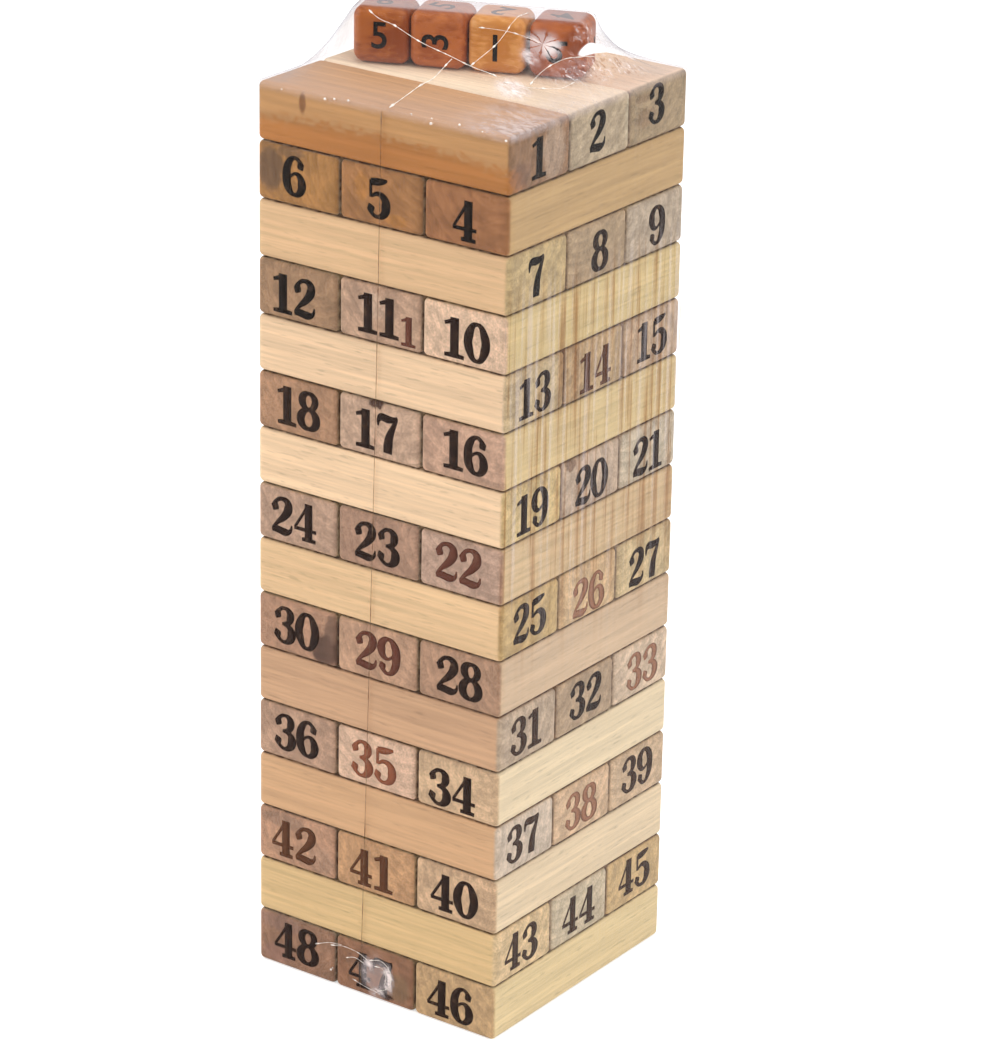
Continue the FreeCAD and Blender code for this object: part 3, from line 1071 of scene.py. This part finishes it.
def ribbon(name, points, width, beads):
    """A fine tube along a smooth line, thicker at its beads."""
    spline = bare_curve(width / 2).splines.new("POLY")
    spline.points.add(len(points) - 1)
    for index, (point, place) in enumerate(zip(spline.points, points)):
        point.co = (*place, 1)
        swell = max(0.0, math.sin(1.7 * index) + 0.6 * math.sin(0.61 * index + 1)) ** 3
        point.radius = 0.7 + beads * swell
    bpy.ops.object.convert(target="MESH")
    bpy.context.object.name = name
    return bpy.context.object


def smooth_line(points, step):
    """Points at an even step along a curve through a few given ones."""
    points = [Vector(p) for p in points]
    ends = [2 * points[0] - points[1], *points, 2 * points[-1] - points[-2]]
    line = []
    for before, start, end, after in zip(ends, ends[1:], ends[2:], ends[3:]):
        count = max(2, round((end - start).length / step))
        for index in range(count):
            t = index / count
            bend = (2 * before - 5 * start + 4 * end - after) * t ** 2
            twist = (3 * start - before - 3 * end + after) * t ** 3
            line.append(0.5 * (2 * start + (end - before) * t + bend + twist))
    return line + [points[-1]]


def fold_film(top, half):
    """Creases over the top, the weld down the front, curls of loose film at the foot and white specks
    for the glints along the front edge, painted highlights.
    """
    settings = bpy.context.scene.tower_film
    pressed = []
    for width, plan in FILM_CREASES:
        line = smooth_line([(x * MM, y * MM, 0) for x, y in plan], 0.8 * MM)
        line = [Vector((p.x, p.y, top.height(p.x, p.y) + FOLD_LIFT)) for p in line]
        pressed.append(ribbon("crease", line, width * MM, 0.6))
    for curl in FILM_CURLS:
        line = smooth_line([(x * MM, -half - FOLD_LIFT, z * MM) for x, z in curl], 0.8 * MM)
        pressed.append(ribbon("curl", line, CURL_WIDTH, 0.3))
    radius = settings.corner_radius
    # White specks for the glints, painted highlights, in the welded film's white.
    for across, level, size in FILM_GLINTS:
        lift = min(max(level * MM - SHOULDER + radius, 0), radius)
        set_back = radius - math.sqrt(radius ** 2 - lift ** 2)
        deselect()
        place = (across * MM, set_back - half - SPECK_LIFT, level * MM)
        bpy.ops.mesh.primitive_ico_sphere_add(subdivisions=1, radius=size * MM, location=place)
        pressed.append(bpy.context.object)
    creases_and_glints = join("film_creases_and_glint_specks", pressed)
    coat(creases_and_glints, welded_film())
    weld = smooth_line([(x * MM, -half - WELD_LIFT, z * MM) for x, z in FILM_WELD], 2 * MM)
    seam = join("film_seam", [ribbon("seam", weld, WELD_WIDTH, 0.3)])
    coat(seam, seam_film())
    for piece in (creases_and_glints, seam):
        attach(piece, FILM_NODE)


# --- stage ------------------------------------------------------------------------------
def studio_floor(colour):
    """Pale seamless paper that shows as white and still takes a shadow."""
    material, tree = empty_material("seamless_paper")
    paper = add(tree, "BsdfDiffuse", {"Color": linear(colour)})
    glow = add(tree, "Emission", {"Color": linear("#ffffff"), "Strength": 0.55})
    lit = add(tree, "AddShader", (paper, glow))
    sight = add(tree, "LightPath").outputs
    seen = add(tree, "Math", (sight["Is Camera Ray"], sight["Is Glossy Ray"]), **LARGER)
    seen = add(tree, "Math", (seen, sight["Is Transmission Ray"]), **LARGER)
    shown = add(tree, "MixShader", (seen, paper, lit))
    add(tree, "OutputMaterial", {"Surface": shown})
    return material


def white_surroundings(strength):
    """Soft white all round; white where it is seen."""
    world = bpy.data.worlds.new("white_surroundings")
    bpy.context.scene.world = world
    world.use_nodes = True
    tree = world.node_tree
    tree.nodes.clear()
    sight = add(tree, "LightPath").outputs
    seen = add(tree, "Math", (sight["Is Camera Ray"], sight["Is Transmission Ray"]), **LARGER)
    seen = add(tree, "Math", (seen, sight["Is Glossy Ray"]), **LARGER)
    power = add(tree, "Mix", {0: seen, 2: strength, 3: 1.0})
    back = add(tree, "Background", {"Color": linear("#ffffff"), "Strength": power})
    add(tree, "OutputWorld", {"Surface": back})


# Soft lamps: name, place, width, height, watts.
LAMPS = (
    ("key", (-1.25, -0.75, 0.7), 1.4, 1.4, 20),
    ("side", (1.3, -0.2, 0.7), 1.1, 1.2, 10),
    ("top", (0.2, 0.2, 1.4), 1.3, 1.1, 11),
)
LAMP_AIM = (0, 0, 0.12)
SURROUNDING_LIGHT = 0.42
# Fine setting of the aim point, up the frame.
AIM_RAISED = 0.48 * MM


def softbox(name, place, width, height, watts):
    """A rectangular soft lamp."""
    deselect()
    bpy.ops.object.light_add(type="AREA", location=place)
    lamp = bpy.context.object
    lamp.name = name
    lamp.data.shape = "RECTANGLE"
    lamp.data.size = width
    lamp.data.size_y = height
    lamp.data.energy = watts
    lamp.rotation_euler = (Vector(LAMP_AIM) - Vector(place)).to_track_quat("-Z", "Y").to_euler()


class TOWER_OT_set_stage(bpy.types.Operator):
    """Lay the floor, hang the lamps and place the camera"""

    bl_idname = "tower.set_stage"
    bl_label = "Set stage"

    def execute(self, context):
        settings = context.scene.tower_stage
        deselect()
        bpy.ops.mesh.primitive_plane_add(size=6, location=(0, 0, 0))
        floor = bpy.context.object
        floor.name = "floor"
        floor.data.materials.append(studio_floor(settings.floor_colour))
        white_surroundings(SURROUNDING_LIGHT)
        for lamp in LAMPS:
            softbox(*lamp)

        azimuth, elevation = settings.azimuth, settings.elevation
        right = Vector((math.cos(azimuth), math.sin(azimuth), 0))
        outward = Vector((math.sin(azimuth), -math.cos(azimuth), 0))
        back = outward * math.cos(elevation) + Vector((0, 0, math.sin(elevation)))
        up = back.cross(right)
        aim_point = Vector((0, 0, settings.aim_height)) + right * settings.aim_right + up * AIM_RAISED
        turned = Matrix((right, up, back)).transposed() @ Matrix.Rotation(settings.roll, 3, "Z")
        bpy.ops.object.camera_add(location=aim_point + back * settings.distance)
        camera = bpy.context.object
        camera.name = "camera"
        camera.rotation_euler = turned.to_euler()
        camera.data.lens = settings.lens
        camera.data.sensor_width = 36
        camera.data.clip_start = 0.05
        context.scene.camera = camera
        context.scene.view_settings.view_transform = "Standard"
        return {"FINISHED"}


# --- add-on -----------------------------------------------------------------------------
class TOWER_PT_panel(bpy.types.Panel):
    """Sidebar panel that lists the steps in order"""

    bl_idname = "TOWER_PT_panel"
    bl_label = "Numbered tumbling tower"
    bl_space_type = "VIEW_3D"
    bl_region_type = "UI"
    bl_category = "Tower"

    def draw(self, context):
        for group in GROUPS:
            box = self.layout.box()
            settings = getattr(context.scene, group)
            for key in settings.bl_rna.properties.keys():
                if key not in ("rna_type", "name"):
                    box.prop(settings, key)
        for operator in OPERATORS:
            self.layout.operator(operator.bl_idname)


GROUPS = {
    "tower_wood": TowerWood,
    "tower_print": TowerPrint,
    "tower_film": TowerFilm,
    "tower_stage": TowerStage,
}
OPERATORS = (
    TOWER_OT_set_stage,
    TOWER_OT_finish_blocks,
    TOWER_OT_print_block_numbers,
    TOWER_OT_finish_dice,
    TOWER_OT_draw_film,
)


def register():
    for name, group in GROUPS.items():
        bpy.utils.register_class(group)
        setattr(bpy.types.Scene, name, bpy.props.PointerProperty(type=group))
    for made in (*OPERATORS, TOWER_PT_panel):
        bpy.utils.register_class(made)


def unregister():
    for made in (TOWER_PT_panel, *reversed(OPERATORS)):
        bpy.utils.unregister_class(made)
    for name, group in reversed(GROUPS.items()):
        delattr(bpy.types.Scene, name)
        bpy.utils.unregister_class(group)


def main():
    register()
    bpy.ops.tower.set_stage()
    bpy.ops.tower.finish_blocks()
    bpy.ops.tower.print_block_numbers()
    bpy.ops.tower.finish_dice()
    bpy.ops.tower.draw_film()
    deselect()


if __name__ == "__main__":
    main()
